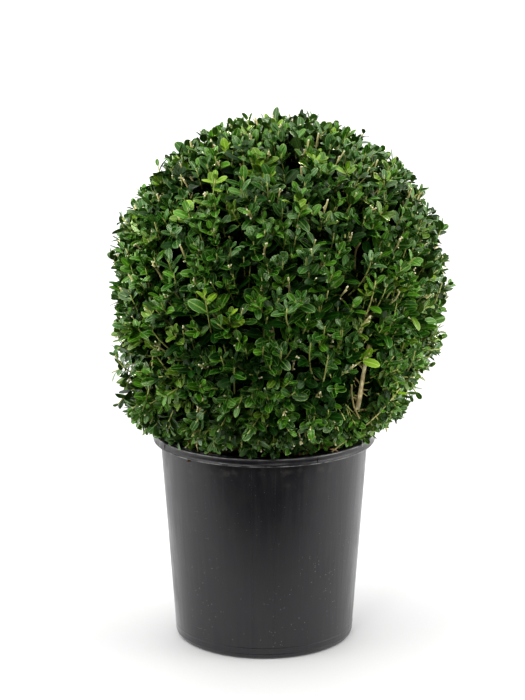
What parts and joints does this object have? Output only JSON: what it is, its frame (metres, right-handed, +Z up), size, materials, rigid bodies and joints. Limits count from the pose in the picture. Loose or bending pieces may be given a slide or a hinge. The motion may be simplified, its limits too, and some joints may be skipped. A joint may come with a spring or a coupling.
{
  "type": "box topiary ball",
  "caption": "Clipped box ball on one short stem, in its black plastic nursery pot filled with potting soil.",
  "frame": {"origin": "centre of the flat underside of the pot", "axes": "+Z up along the pot's axis, -Y towards the plant's front, +X to the right seen from the front"},
  "size_m": [0.396, 0.3962, 0.6182],
  "materials": {
    "black_plastic": "satin",
    "potting_soil": "matte",
    "bark": "matte",
    "box_leaves": "satin"
  },
  "bodies": {
    "root": {"pot": "black_plastic", "potting_soil": "potting_soil", "stem": "bark", "leader": "bark", "bough_front_right": "bark", "bough_right": "bark", "bough_back_right": "bark", "bough_back_left": "bark", "bough_left": "bark", "bough_front_left": "bark", "foliage_top": "box_leaves", "foliage_front_right": "box_leaves", "foliage_right": "box_leaves", "foliage_back_right": "box_leaves", "foliage_back_left": "box_leaves", "foliage_left": "box_leaves", "foliage_front_left": "box_leaves"}
  },
  "joints": []
}
